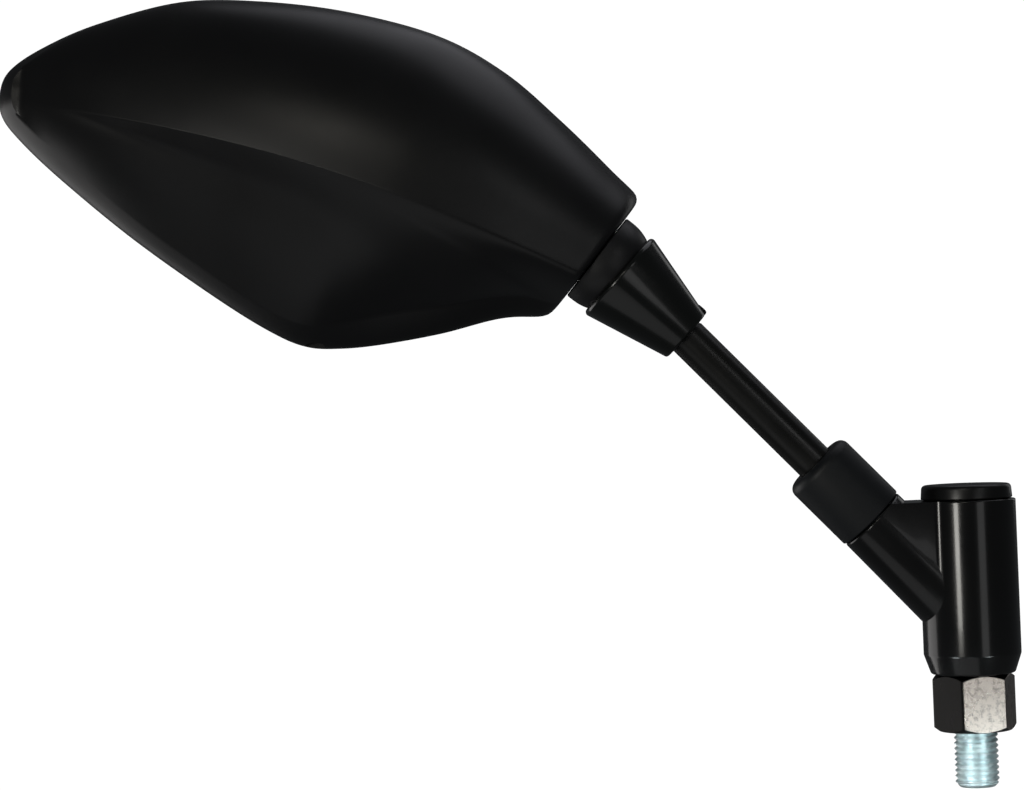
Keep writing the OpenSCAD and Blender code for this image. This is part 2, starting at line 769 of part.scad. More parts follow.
// Moulded housing: sculpted back, rim band, end wall with its mouth, drain notch and screw posts
module housing() {
    drain = rim[59];
    color([0.08, 0.08, 0.085])
        difference() {
            union() {
                difference() {
                    in_head()
                        back_body(0, 0, -0.8);
                    stem_side(end_gap);
                    difference() {
                        in_head()
                            back_body(wall, 1, -pocket_h);
                        stem_side(end_gap + wall);
                    }
                }
                intersection() {
                    in_head()
                        back_body(wall / 2, 1, -pocket_h);
                    in_head() {
                        for (p = bracket_holes)
                            post(p, -plate_t / 2 - face_gap);
                        for (p = carrier_holes)
                            post(p, post_y);
                    }
                }
            }
            on_socket()
                cylinder(d = mouth_d, h = end_gap + wall + 2);
            in_head() {
                translate([-drain[0], rim_back - drain_up, drain[1] - 2]) {
                    cylinder(d = drain_d, h = 12);
                    translate([-drain_d / 2, 0, 0])
                        cube([drain_d, drain_up + 1, 12]);
                }
                for (p = bracket_holes)
                    across(p, plate_t / 2 - plate_t - screw_in - 0.2)
                        cylinder(d = screw_d, h = screw_in + 2);
                for (p = carrier_holes)
                    across(p, post_y - screw_in)
                        cylinder(d = screw_d, h = screw_in + 1);
            }
        }
}

// A screw post from beyond the housing's back up to a depth
module post(p, top) across(p, top - far_off) cylinder(d = boss_d, h = far_off);

// A plate of the pocket's outline, moved in by a distance, from one depth to another
module head_plate(distance, y0, y1) {
    difference() {
        in_head()
            translate([0, y1, 0])
                rotate([90, 0, 0])
                    linear_extrude(height = y1 - y0)
                        polygon([for (i = [0:rim_n - 1])
                            let (p = rim[i] + inward[i] * (pocket(i) + distance)) [-p[0], p[1]]]);
        stem_side(end_gap + wall + distance);
    }
}

// Disc with its rear face on a sphere of a given radius, apex at a given depth
module convex_disc(apex, thick) {
    reach = 1.3 * glass_centre;
    steps = 14;
    sag = function (r) glass_r - sqrt(glass_r * glass_r - r * r);
    in_head()
        translate([-glass_centre, apex, 0])
            rotate([90, 0, 0])
                rotate_extrude()
                    polygon(concat([for (i = [0:steps]) let (r = reach * i / steps) [r, sag(r)]],
                        [for (i = [steps:-1:0]) let (r = reach * i / steps) [r, sag(r) + thick]]));
}

// Depth of the glass's apex behind the ball's centre, and the glass's distance from its pocket
glass_apex = rim_back + glass_proud;
glass_in = frame_w + face_gap * 4;
glass_centre = 72;
glass_room = 8;

module mirror_glass() {
    color("lightblue")
        intersection() {
            head_plate(glass_in, rim_back - glass_room, rim_back + glass_room);
            convex_disc(glass_apex, glass_t);
        }
}

// Foam pad under the glass, cut back round the neck
module glass_pad() {
    color("gray")
        difference() {
            intersection() {
                head_plate(glass_in + 2, rim_back - glass_room, rim_back + glass_room);
                convex_disc(glass_apex - glass_t - tiny, pad_t);
            }
            stem_side(neck_l + 1.5);
        }
}

// Carrier under the glass, cut back round the neck, with sunk cups for its screws
module carrier_plate() {
    top = glass_apex - glass_t - pad_t - 2 * tiny;
    color([0.12, 0.12, 0.12])
        difference() {
            union() {
                intersection() {
                    head_plate(glass_in + 2, rim_back - glass_room, rim_back + glass_room);
                    convex_disc(top, carrier_t);
                }
                in_head()
                    for (p = carrier_holes)
                        across(p, cup_y)
                            cylinder(d = screw_head_d + 3, h = top - carrier_t + 0.2 - cup_y);
            }
            stem_side(neck_l + 1.5);
            in_head()
                for (p = carrier_holes) {
                    across(p, cup_y + cup_floor)
                        cylinder(d = screw_head_d + 0.6, h = glass_room);
                    across(p, cup_y - 1)
                        cylinder(d = screw_d + 0.4, h = 5);
                }
        }
}

// Glass frame: a ring in the pocket, round the glass
module glass_frame() {
    color([0.07, 0.07, 0.07])
        difference() {
            head_plate(2 * face_gap, rim_back - pocket_h + face_gap, rim_back + frame_proud);
            head_plate(frame_w, rim_back - glass_room, rim_back + glass_room);
        }
}

module carrier_screws() {
    color("silver")
        in_head()
            for (p = carrier_holes)
                across(p, cup_y + cup_floor)
                    screw(cup_floor + screw_in - 1);
}

pivot_bolt();
lock_nut();
spring_washer();
disc_springs();
holder();
lower_bush();
upper_bush();
pivot_cap();
stem();
jam_nut();
stem_boot();
collar();
collar_screw();
ball_liner();
rear_seat();
seat_spring();
socket_ring();
head_bracket();
bracket_screws();
housing();
carrier_plate();
carrier_screws();
glass_pad();
mirror_glass();
glass_frame();
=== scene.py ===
from math import cos, pi, radians, sin, tan

import bmesh
import bpy
import numpy as np
from mathutils import Matrix, Vector


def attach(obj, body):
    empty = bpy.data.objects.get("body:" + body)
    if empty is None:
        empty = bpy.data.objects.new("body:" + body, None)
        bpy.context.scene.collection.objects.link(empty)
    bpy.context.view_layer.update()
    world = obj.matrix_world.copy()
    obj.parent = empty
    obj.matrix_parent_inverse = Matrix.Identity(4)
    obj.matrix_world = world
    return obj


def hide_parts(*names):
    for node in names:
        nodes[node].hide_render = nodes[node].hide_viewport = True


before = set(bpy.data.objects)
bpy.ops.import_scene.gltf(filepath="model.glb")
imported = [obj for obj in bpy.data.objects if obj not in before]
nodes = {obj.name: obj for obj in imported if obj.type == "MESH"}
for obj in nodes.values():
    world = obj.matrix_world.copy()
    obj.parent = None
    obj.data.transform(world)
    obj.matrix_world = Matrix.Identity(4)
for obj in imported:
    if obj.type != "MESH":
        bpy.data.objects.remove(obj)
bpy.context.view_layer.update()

# Studio
# A product shot cut out on white: a level camera, rolled a little, in front of the head's back,
# with softboxes all round, also under the floor, which lets their light through as a glass table
# does. Only the camera sees the white; what the black parts mirror is a dim room and the lights.

white = 1.05
floor_half, floor_z = 3.0, -0.045


def white_to_camera(tree, shaded, out):
    """Shows a plain white glow to the camera, and leaves every other ray to the shader given."""
    kind = "ShaderNodeEmission" if out.bl_idname == "ShaderNodeOutputMaterial" else "ShaderNodeBackground"
    glow = tree.nodes.new(kind)
    glow.inputs["Strength"].default_value = white
    glow.inputs["Color"].default_value = (1, 1, 1, 1)
    ray, mix = tree.nodes.new("ShaderNodeLightPath"), tree.nodes.new("ShaderNodeMixShader")
    tree.links.new(ray.outputs["Is Camera Ray"], mix.inputs["Fac"])
    tree.links.new(shaded.outputs[0], mix.inputs[1])
    tree.links.new(glow.outputs[0], mix.inputs[2])
    tree.links.new(mix.outputs[0], out.inputs["Surface"])


floor_corners = [(x * floor_half, y * floor_half, floor_z) for x, y in ((-1, -1), (1, -1), (1, 1), (-1, 1))]
floor_mesh = bpy.data.meshes.new("floor")
floor_mesh.from_pydata(floor_corners, [], [(0, 1, 2, 3)])
floor = bpy.data.objects.new("floor", floor_mesh)
bpy.context.collection.objects.link(floor)
floor_paint = bpy.data.materials.new("floor_paint")
floor_paint.use_nodes = True
floor_tree = floor_paint.node_tree
see_through = floor_tree.nodes.new("ShaderNodeBsdfTransparent")
white_to_camera(floor_tree, see_through, floor_tree.nodes["Material Output"])
floor_mesh.materials.append(floor_paint)

world = bpy.data.worlds.new("studio")
bpy.context.scene.world = world
world.use_nodes = True
room = world.node_tree.nodes["Background"]
room.inputs["Color"].default_value = (0.9, 0.95, 1, 1)
room.inputs["Strength"].default_value = 0.05
white_to_camera(world.node_tree, room, world.node_tree.nodes["World Output"])


def softbox(name, azimuth, elevation, distance, width, height, watts, tint=(1, 1, 1),
            aim=(-0.09, 0, 0.09), spread=180):
    """A rectangular area light that looks at a point; azimuth is counted from -Y towards +X."""
    a, e = radians(azimuth), radians(elevation)
    away = Vector((sin(a) * cos(e), -cos(a) * cos(e), sin(e)))
    data = bpy.data.lights.new(name, "AREA")
    data.shape = "RECTANGLE"
    data.size, data.size_y = width, height
    data.energy = watts
    data.color = tint
    data.spread = radians(spread)
    lamp = bpy.data.objects.new(name, data)
    turn = away.to_track_quat("Z", "Y").to_matrix().to_4x4()
    lamp.matrix_world = Matrix.Translation(Vector(aim) + away * distance) @ turn
    lamp.visible_camera = False
    bpy.context.collection.objects.link(lamp)


softbox("left_softbox", -31, -1, 1.2, 0.22, 0.30, 2.0, (1, 0.98, 0.92))
softbox("front_fill", -12, 24, 1.2, 0.30, 0.26, 0.55, (1, 0.96, 0.86))
softbox("right_softbox", 27, -4, 1.2, 0.34, 0.46, 0.32)
softbox("right_high", 36, 18, 1.2, 0.25, 0.20, 0.25)
softbox("rear_overhead", 138, 56, 1.2, 1.3, 0.8, 1.7, (0.93, 0.93, 1))
softbox("left_rim", -118, -15, 1.2, 0.8, 0.8, 2.4, (1, 0.98, 0.97))
softbox("front_low", -26, -50, 1.2, 1.2, 0.7, 0.7)
softbox("right_rim", 138, 12, 1.2, 0.3, 0.6, 0.3)
stud_cards = (("stud_left", -50, 0.013), ("stud_front", -14, 0.001), ("stud_right", 32, 0.009))
for name, azimuth, watts in stud_cards:
    softbox(name, azimuth, -20, 0.15, 0.08, 0.06, watts, (0.88, 0.98, 1), (0, 0, -0.02), 22)

bpy.context.scene.view_settings.view_transform = "Standard"
camera_roll = 2.3
camera_data = bpy.data.cameras.new("camera")
camera_data.sensor_fit = "HORIZONTAL"
camera_data.sensor_width = 36
camera_data.lens = 101.95
camera = bpy.data.objects.new("camera", camera_data)
camera.location = (-0.10347, -0.667, 0.08165)
camera.rotation_euler = (pi / 2, radians(camera_roll), 0)
bpy.context.collection.objects.link(camera)
bpy.context.scene.camera = camera

# Pivot bolt
# A zinc-plated steel bolt, turned and thread-rolled: a socket head and a shoulder turn in the
# holder, and the M10 x 1.25 end screws into the handlebar's clamp. All lengths in millimetres.

pitch, thread_depth, stud_r, stud_end = 1.25, 0.55, 5.0, -12.5
nut_low, nut_high = 0.5, 13.5
shoulder_r, bolt_head_r, bolt_head_z, bolt_head_h = 6.0, 8.0, 41.65, 6.5
socket_flats, socket_floor, socket_mouth_r = 8.0, 44.25, 5.1
core_r, head_chamfer = 4.6, 0.6
sides = 128


def placed(points, origin=(0, 0, 0), lean=0.0):
    """Turns points about +Y so that their z axis leans towards -X, moves them to the origin, and
    makes them metres."""
    c, s = cos(radians(lean)), sin(radians(lean))
    turn = np.array([[c, 0, -s], [0, 1, 0], [s, 0, c]])
    return (points @ turn.T + np.asarray(origin)) * 0.001


def surface(name, verts, faces):
    """A mesh of its own from points and faces, linked to the scene."""
    mesh = bpy.data.meshes.new(name)
    mesh.from_pydata(np.asarray(verts).tolist(), [], faces)
    mesh.update()
    made = bpy.data.objects.new(name, mesh)
    bpy.context.collection.objects.link(made)
    return made


def ring_faces(rows, count, loop):
    """Quads between neighbouring rings of equal length, and from the last ring to the first in a loop."""
    i, j = np.meshgrid(np.arange(rows if loop else rows - 1), np.arange(count), indexing="ij")
    k, up = (j + 1) % count, (i + 1) % rows
    quads = np.stack([i * count + j, i * count + k, up * count + k, up * count + j], -1)
    return quads.reshape(-1, 4).tolist()


def outward(thing, sharp=32):
    """Turns every closed shell of a mesh outwards, and shades it smooth up to its sharp edges."""
    work = bmesh.new()
    work.from_mesh(thing.data)
    bmesh.ops.recalc_face_normals(work, faces=work.faces)
    work.to_mesh(thing.data)
    work.free()
    thing.data.shade_smooth()
    thing.data.set_sharp_from_angle(angle=radians(sharp))


def turned(name, r, z, origin=(0, 0, 0), lean=0.0, loop=False, sharp=32):
    """A turned piece: rings of radius r at height z round the axis, where r and z may also change
    round the ring. Either the rings make a loop, or the first and last height close it on the axis."""
    angle = np.arange(sides) * 2 * pi / sides
    r, z = np.asarray(r, float), np.asarray(z, float)
    r = r[:, None] if r.ndim == 1 else r
    z = z[:, None] if z.ndim == 1 else z
    r, z = np.broadcast_arrays(r + 0 * angle, z + 0 * angle)
    rings = np.stack([r * np.cos(angle), r * np.sin(angle), z], -1)
    rows = len(rings)
    verts, faces = rings.reshape(-1, 3), ring_faces(rows, sides, loop)
    if not loop:
        around = np.arange(sides)
        ahead = (around + 1) % sides
        verts = np.vstack([verts, [[0, 0, z[0].mean()], [0, 0, z[-1].mean()]]])
        faces += np.stack([ahead, around, np.full(sides, rows * sides)], 1).tolist()
        last = (rows - 1) * sides
        faces += np.stack([last + around, last + ahead, np.full(sides, rows * sides + 1)], 1).tolist()
    made = surface(name, placed(verts, origin, lean), faces)
    outward(made, sharp)
    return made


def rounded(corners, steps=6):
    """A chain of straight lines through corners (x, y, radius): each corner is an arc that touches
    both of its lines, cut into equal turns; the two ends stay as they are."""
    c = np.array(corners, float)
    chain = [c[:1, :2]]
    for before, here, after in zip(c[:-2], c[1:-1], c[2:]):
        a, b = before[:2] - here[:2], after[:2] - here[:2]
        a, b = a / np.linalg.norm(a), b / np.linalg.norm(b)
        half = np.arccos(np.clip(a @ b, -1, 1)) / 2
        if here[2] == 0 or half > 1.55:
            chain.append(here[None, :2])
            continue
        middle = here[:2] + (a + b) / np.linalg.norm(a + b) * here[2] / sin(half)
        first = here[:2] + a * here[2] / tan(half) - middle
        last = here[:2] + b * here[2] / tan(half) - middle
        start = np.arctan2(first[1], first[0])
        sweep = (np.arctan2(last[1], last[0]) - start + pi) % (2 * pi) - pi
        angle = start + sweep * np.linspace(0, 1, steps + 1)
        chain.append(middle + here[2] * np.stack([np.cos(angle), np.sin(angle)], 1))
    chain.append(c[-1:, :2])
    return np.vstack(chain)


def hexagon(flats, turn=0.0):
    """Radius of a hexagon across its flats at each side of a ring, turned by an angle in degrees:
    half the flats' distance over the cosine of the angle to the nearest flat's middle."""
    angle = np.arange(sides) * 2 * pi / sides - radians(turn)
    return flats / 2 / np.cos((angle + pi / 6) % (pi / 3) - pi / 6)


def finish(name, colour, rough, metal=0.0, coat=0.0, coat_rough=0.1, grain=1500.0, depth=0.02,
           blotch=60.0, spread=0.06, tint=0.12, edge=0.0):
    """A node-based finish: fine grain in the normal, slow noise in roughness and colour, all on
    Object coordinates; edges may be softened by a small radius."""
    material = bpy.data.materials.new(name)
    material.use_nodes = True
    n, link = material.node_tree.nodes, material.node_tree.links.new
    shader = n["Principled BSDF"]
    shader.inputs["Metallic"].default_value = metal
    shader.inputs["Coat Weight"].default_value = coat
    shader.inputs["Coat Roughness"].default_value = coat_rough
    place = n.new("ShaderNodeTexCoord")
    fine, slow = n.new("ShaderNodeTexNoise"), n.new("ShaderNodeTexNoise")
    fine.inputs["Scale"].default_value = grain
    fine.inputs["Detail"].default_value = 3
    slow.inputs["Scale"].default_value = blotch
    slow.inputs["Detail"].default_value = 4
    bump = n.new("ShaderNodeBump")
    bump.inputs["Strength"].default_value = 1.0
    bump.inputs["Distance"].default_value = depth * 0.001
    rougher = n.new("ShaderNodeMapRange")
    rougher.inputs["From Min"].default_value, rougher.inputs["From Max"].default_value = 0.3, 0.7
    rougher.inputs["To Min"].default_value = rough - spread
    rougher.inputs["To Max"].default_value = rough + spread
    ramp = n.new("ShaderNodeValToRGB")
    ramp.color_ramp.elements[0].position, ramp.color_ramp.elements[1].position = 0.3, 0.75
    ramp.color_ramp.elements[0].color = (*[c * (1 - tint) for c in colour], 1)
    ramp.color_ramp.elements[1].color = (*[min(1, c * (1 + tint)) for c in colour], 1)
    for texture in (fine, slow):
        link(place.outputs["Object"], texture.inputs["Vector"])
    link(fine.outputs["Fac"], bump.inputs["Height"])
    link(bump.outputs["Normal"], shader.inputs["Normal"])
    link(slow.outputs["Fac"], rougher.inputs["Value"])
    link(rougher.outputs["Result"], shader.inputs["Roughness"])
    link(slow.outputs["Fac"], ramp.inputs["Fac"])
    link(ramp.outputs["Color"], shader.inputs["Base Color"])
    if edge:
        soft = n.new("ShaderNodeBevel")
        soft.samples = 6
        soft.inputs["Radius"].default_value = edge * 0.001
        link(soft.outputs["Normal"], bump.inputs["Normal"])
    return material


def dress(name, material):
    """Gives a CAD node its finish."""
    nodes[name].data.materials.clear()
    nodes[name].data.materials.append(material)


def fit(piece, material, body, node):
    """Gives a new piece its finish and its body, and lets it replace a CAD node."""
    piece.data.materials.append(material)
    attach(piece, body)
    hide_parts(node)


round_angle = np.arange(sides) * 2 * pi / sides
thread_z = np.arange(stud_end, nut_low + pitch / 28, pitch / 14)
# The thread's helix: a share of a turn picks the crest, the flank or the root
turn_share = (thread_z[:, None] / pitch - round_angle / (2 * pi)) % 1
flank = np.clip((np.abs(turn_share - 0.5) * 2 - 0.14) / 0.70, 0, 1)
thread_r = stud_r - thread_depth * flank ** 1.15
thread_r = np.minimum(thread_r, stud_r - 1.0 + np.clip(thread_z[:, None] - stud_end, 0, None))
head_top = bolt_head_z + bolt_head_h
upper = np.array([[core_r, nut_low + 0.1], [core_r, nut_high], [shoulder_r, nut_high],
                  [shoulder_r, bolt_head_z], [bolt_head_r, bolt_head_z],
                  [bolt_head_r, head_top - head_chamfer], [bolt_head_r - head_chamfer, head_top],
                  [socket_mouth_r, head_top]])
socket = hexagon(socket_flats)[None, :]
bolt_r = np.vstack([thread_r, upper[:, :1] + 0 * round_angle, socket, socket])
bolt_z = np.concatenate([thread_z, upper[:, 1], [head_top - 0.3, socket_floor]])
bolt = turned("bolt_turned", bolt_r, bolt_z, sharp=50)
zinc = finish("zinc_plate", (0.76, 0.94, 0.97), 0.42, metal=0.9, grain=2500, depth=0.012, blotch=400,
              spread=0.10, tint=0.2)
fit(bolt, zinc, "bolt", "pivot_bolt")

# Lock nut
# A 17 mm steel nut, blackened, cut from hexagon bar with both ends chamfered by a cone. Its front flat
# and the next are painted light and speckled, a painted reflection. It is screwed on the stud and locks it
# in the clamp.

nut_flats, nut_chamfer, nut_turn = 17.0, 1.3, 7.0
nut_bore, nut_mouth, nut_sink = 4.6, 5.3, 0.6
outer = hexagon(nut_flats, nut_turn - 90)
flat_r = nut_flats / 2 - 0.2
wide = nut_flats / 2 / cos(pi / 6) + 0.2
rise = nut_chamfer * (outer - flat_r) / (wide - flat_r)
plain = 0 * outer
nut_r = np.stack([plain + nut_bore, plain + nut_mouth, plain + flat_r, outer, outer, plain + flat_r,
                  plain + nut_mouth, plain + nut_bore])
nut_z = np.stack([plain + nut_low + nut_sink, plain + nut_low, plain + nut_low, nut_low + rise,
                  nut_high - rise, plain + nut_high, plain + nut_high, plain + nut_high - nut_sink])
nut = turned("nut_cut", nut_r, nut_z, loop=True, sharp=20)


def black_with_painted_flats(name):
    """Blackened steel with a painted reflection: the flat that faces the front is painted light and the next
    one mostly so; how far a point lies along a flat's normal picks it, and noise on Object coordinates
    speckles it."""
    material = finish(name, (0.05, 0.05, 0.05), 0.27, metal=1.0, grain=1800, depth=0.005, spread=0.04,
                      edge=0.25)
    n, link = material.node_tree.nodes, material.node_tree.links.new
    place, specks = n.new("ShaderNodeTexCoord"), n.new("ShaderNodeTexNoise")
    specks.inputs["Scale"].default_value = 900
    specks.inputs["Detail"].default_value = 8
    specks.inputs["Roughness"].default_value = 0.75
    # Painted reflection: these light speckled colours stand in for the softboxes mirrored in the front
    # flats.
    ramp = n.new("ShaderNodeValToRGB")
    ramp.color_ramp.elements[0].position, ramp.color_ramp.elements[1].position = 0.32, 0.52
    ramp.color_ramp.elements[0].color = (0.26, 0.23, 0.21, 1)
    ramp.color_ramp.elements[1].color = (0.66, 0.59, 0.53, 1)
    most = n.new("ShaderNodeMath")
    most.operation = "MAXIMUM"
    for k, (turned_by, painted_lift) in enumerate(((nut_turn, 1.0), (nut_turn + 60, 0.8))):
        along, flat = n.new("ShaderNodeVectorMath"), n.new("ShaderNodeMapRange")
        along.operation = "DOT_PRODUCT"
        along.inputs[1].default_value = (sin(radians(turned_by)), -cos(radians(turned_by)), 0)
        flat.inputs["From Min"].default_value = (nut_flats / 2 - 0.15) * 0.001
        flat.inputs["From Max"].default_value = (nut_flats / 2 - 0.02) * 0.001
        flat.inputs["To Max"].default_value = painted_lift
        link(place.outputs["Object"], along.inputs[0])
        link(along.outputs["Value"], flat.inputs["Value"])
        link(flat.outputs["Result"], most.inputs[k])
    mix = n.new("ShaderNodeMix")
    mix.data_type = "RGBA"
    mix.inputs["A"].default_value = (0.035, 0.034, 0.033, 1)
    link(place.outputs["Object"], specks.inputs["Vector"])
    link(specks.outputs["Fac"], ramp.inputs["Fac"])
    link(most.outputs["Value"], mix.inputs["Factor"])
    link(ramp.outputs["Color"], mix.inputs["B"])
    link(mix.outputs["Result"], n["Principled BSDF"].inputs["Base Color"])
    return material


fit(nut, black_with_painted_flats("black_steel_painted_reflection"), "bolt", "lock_nut")

# Bushes, washer and disc springs
# Two flanged bushes moulded in black nylon carry the barrel on the shoulder; a plain washer and
# a pair of stamped disc springs under the bolt's head press it down, so that the arm turns stiffly.

nylon = finish("natural_nylon", (0.75, 0.72, 0.62), 0.45, grain=900, depth=0.01)
spring_steel = finish("spring_steel", (0.42, 0.42, 0.44), 0.32, metal=1.0, grain=2000, depth=0.01)
black_nylon = finish("black_nylon", (0.012, 0.012, 0.012), 0.4, grain=900, depth=0.01)
for name in ("lower_bush", "upper_bush"):
    dress(name, black_nylon)
for name in ("spring_washer", "disc_springs"):
    dress(name, spring_steel)

# Holder
# A Y-shaped alloy die casting in gloss black paint that turns on the bolt's shoulder: an upright
# barrel with a tapered foot, the arm that takes the stem, and a flat web that fills the angle.

barrel_low, barrel_high, barrel_r, foot_r, foot_h = 13.6, 53.5, 11.15, 9.6, 4.5
stem_lean, cross_z, arm_l, arm_root_r, arm_r = 43.1, 26.4, 32.3, 8.7, 8.3
web_half, web_fillet, web_reach = 8.1, 3.0, 30
foot_bore, foot_bore_top, pivot_bore, pivot_bore_top, head_bore = 8.65, 14.6, 7.51, 36.9, 8.9
stem_bore, stem_depth = 4.55, 12


def combine(thing, other, how):
    """Joins, cuts or keeps what two closed meshes share, and drops the second one."""
    step = thing.modifiers.new(how, "BOOLEAN")
    step.operation, step.object, step.solver = how, other, "EXACT"
    bpy.context.view_layer.update()
    result = bpy.data.meshes.new_from_object(thing.evaluated_get(bpy.context.evaluated_depsgraph_get()))
    thing.modifiers.clear()
    thing.data = result
    bpy.data.objects.remove(other)


def prism(name, outline, low, high, flat=False):
    """A closed prism: an outline in x and y raised along z, or in x and z raised along y."""
    count = len(outline)
    level = [np.column_stack([outline, np.full(count, h)]) for h in (low, high)]
    verts = np.vstack(level)
    if flat:
        verts = verts[:, [0, 2, 1]]
    ends = [list(range(count)), list(range(2 * count - 1, count - 1, -1))]
    made = surface(name, placed(verts), ring_faces(2, count, False) + ends)
    outward(made)
    return made


barrel = rounded([(0, barrel_low, 0), (foot_r, barrel_low, 0.7), (barrel_r, barrel_low + foot_h, 0.9),
                  (barrel_r, barrel_high, 0.35), (0, barrel_high, 0)], 8)[1:-1]
holder = turned("holder_cast", barrel[:, 0], barrel[:, 1])
arm = rounded([(0, 0, 0), (arm_root_r, 0, 0), (arm_r, arm_l, 0.6), (0, arm_l, 0)], 8)[1:-1]
combine(holder, turned("arm_blank", arm[:, 0], arm[:, 1], (0, 0, cross_z), stem_lean), "UNION")
middle_x = -((barrel_r + web_fillet) ** 2 - (web_half + web_fillet) ** 2) ** 0.5
bend = np.linspace(-pi / 2, np.arctan2(-(web_half + web_fillet), -middle_x), 9)
hollow_y = web_half + web_fillet + web_fillet * np.sin(bend)
hollow = np.stack([middle_x + web_fillet * np.cos(bend), hollow_y], 1)
half_plan = np.vstack([[[-web_reach, web_half]], hollow, [[0, hollow[-1, 1]]]])
plan = np.vstack([half_plan * [1, -1], half_plan[::-1]])
end_x, end_z = -arm_l * sin(radians(stem_lean)), cross_z + arm_l * cos(radians(stem_lean))
top_x = end_x + (barrel_high - end_z) / tan(radians(stem_lean))
web = prism("web_plan", plan, cross_z - 2, barrel_high)
over_x = top_x + 1 / tan(radians(stem_lean))
web_side = np.array([[0, cross_z], [0, barrel_high + 1], [over_x, barrel_high + 1], [end_x, end_z]])
combine(web, prism("web_side", web_side, -20, 20, True), "INTERSECT")
combine(holder, web, "UNION")
bore = np.array([(foot_bore, barrel_low - 1), (foot_bore, foot_bore_top), (pivot_bore, foot_bore_top),
                 (pivot_bore, pivot_bore_top), (head_bore, pivot_bore_top), (head_bore, barrel_high + 1)])
combine(holder, turned("bore_cutter", bore[:, 0], bore[:, 1]), "DIFFERENCE")
arm_cutter = turned("arm_cutter", [stem_bore, stem_bore], [arm_l - stem_depth, arm_l + 1],
                    (0, 0, cross_z), stem_lean)
combine(holder, arm_cutter, "DIFFERENCE")
outward(holder, 24)
gloss = finish("gloss_black_paint", (0.006, 0.006, 0.006), 0.20, coat=0.3, coat_rough=0.06, grain=700,
               depth=0.004, spread=0.03)
fit(holder, gloss, "arm", "holder")

# Pivot cap
# A soft plug moulded in one piece, pushed into the barrel's counterbore to keep water off the
# bolt's head. Its lid overlaps the barrel's edge and casts a thin shadow line.

cap_r, cap_h, plug_r, plug_bore, plug_l = 10.35, 3.5, 8.85, 7.45, 3.5
lid_low, lid_top, plug_low = barrel_high + 0.06, barrel_high + cap_h, barrel_high - plug_l
lid = rounded([(0, lid_top, 0), (cap_r - 0.15, lid_top, 1.0), (cap_r + 0.1, barrel_high + 0.35, 0.3),
               (cap_r - 0.5, lid_low, 0.1), (plug_r, lid_low, 0), (plug_r, plug_low, 0.2),
               (plug_bore, plug_low, 0.2), (plug_bore, barrel_high, 0), (0, barrel_high, 0)], 8)[1:-1]
cap = turned("cap_moulded", lid[:, 0], lid[:, 1])
cap_rubber = finish("cap_rubber", (0.008, 0.008, 0.008), 0.30, grain=1200, depth=0.006)
fit(cap, cap_rubber, "arm", "pivot_cap")

# Stem and jam nut
# A drawn steel rod in satin black paint, bent a little near its top, where a turned shank ends in
# the ball. Its foot screws into the arm and the jam nut, under the boot, locks it.

satin = finish("satin_black_paint", (0.008, 0.008, 0.007), 0.30, grain=900, depth=0.008, spread=0.05)
screw_zinc = finish("screw_zinc", (0.55, 0.57, 0.60), 0.32, metal=1.0, grain=1500, depth=0.01)
dress("stem", satin)
dress("jam_nut", screw_zinc)

# Stem boot
# A sleeve moulded in matt bluish black rubber, pushed down the stem over the jam nut. Its upper
# end hugs the stem, and its lower rim rests on the arm.

boot_z, boot_l, boot_r, boot_wall, stem_r, lip_r = 32.5, 18.0, 8.55, 0.9, 4.5, 5.1
sleeve = rounded([(stem_r, 9, 0), (stem_r, boot_l - 1, 0.3), (lip_r, boot_l, 0.4), (boot_r, boot_l, 2.1),
                  (boot_r, 0, 0.35), (boot_r - boot_wall, 0, 0.2), (boot_r - boot_wall, 6, 0.5),
                  (stem_r, 7.5, 0)], 8)
boot = turned("boot_moulded", sleeve[:, 0], sleeve[:, 1], (0, 0, cross_z), stem_lean, loop=True)
up_stem = Vector((-sin(radians(stem_lean)), 0, cos(radians(stem_lean))))
boot.data.transform(Matrix.Translation(up_stem * (boot_z * 0.001)))
boot_rubber = finish("boot_rubber", (0.007, 0.009, 0.011), 0.48, grain=1600, depth=0.02, spread=0.08)
fit(boot, boot_rubber, "arm", "stem_boot")

# Collar and its grub screw
# A tapered collar, turned and painted gloss black, slides on the stem's tip and cups the dome;
# a small blackened grub screw near its narrow end locks it.

bend_at, tip_lean = (-62.861, 0, 93.575), 46.0
collar_l, collar_r1, collar_r2, seat_r, ball_reach = 21.2, 6.6, 11.85, 11.35, 25.6
cup_rim_r, cup_floor_r, shank_r = 10.46, 6.7, 4.35
seat_fall = np.linspace(cup_rim_r, cup_floor_r, 9)
cup = np.stack([seat_fall, ball_reach - np.sqrt(seat_r ** 2 - seat_fall ** 2)], 1)
skin = rounded([(shank_r, 0, 0), (collar_r1, 0, 0.8), (collar_r2, collar_l, 1.0),
                (10.5, collar_l + 0.05, 0)], 10)
collar_line = np.vstack([skin, cup, [[shank_r, 6.0]]])
collar = turned("collar_turned", collar_line[:, 0], collar_line[:, 1], bend_at, tip_lean, loop=True)
collar_paint = finish("collar_paint", (0.006, 0.007, 0.006), 0.22, coat=0.3, coat_rough=0.08, grain=700,
                      depth=0.004, spread=0.04)
fit(collar, collar_paint, "arm", "collar")

grub_r, grub_at, grub_in, grub_out, grub_floor = 1.5, 1.55, 4.4, 7.35, 6.0
grub = rounded([(0, grub_in, 0), (grub_r, grub_in, 0), (grub_r, grub_out, 0.6), (0.9, grub_out, 0),
                (0.75, grub_floor, 0), (0, grub_floor, 0)])[1:-1]
grub_foot = (bend_at[0] - grub_at * sin(radians(tip_lean)), 0, bend_at[2] + grub_at * cos(radians(tip_lean)))
grub_screw = turned("grub_turned", grub[:, 0], grub[:, 1], grub_foot, tip_lean - 90)
grub_black = finish("grub_black", (0.01, 0.01, 0.01), 0.35, metal=0.5)
fit(grub_screw, grub_black, "arm", "collar_screw")

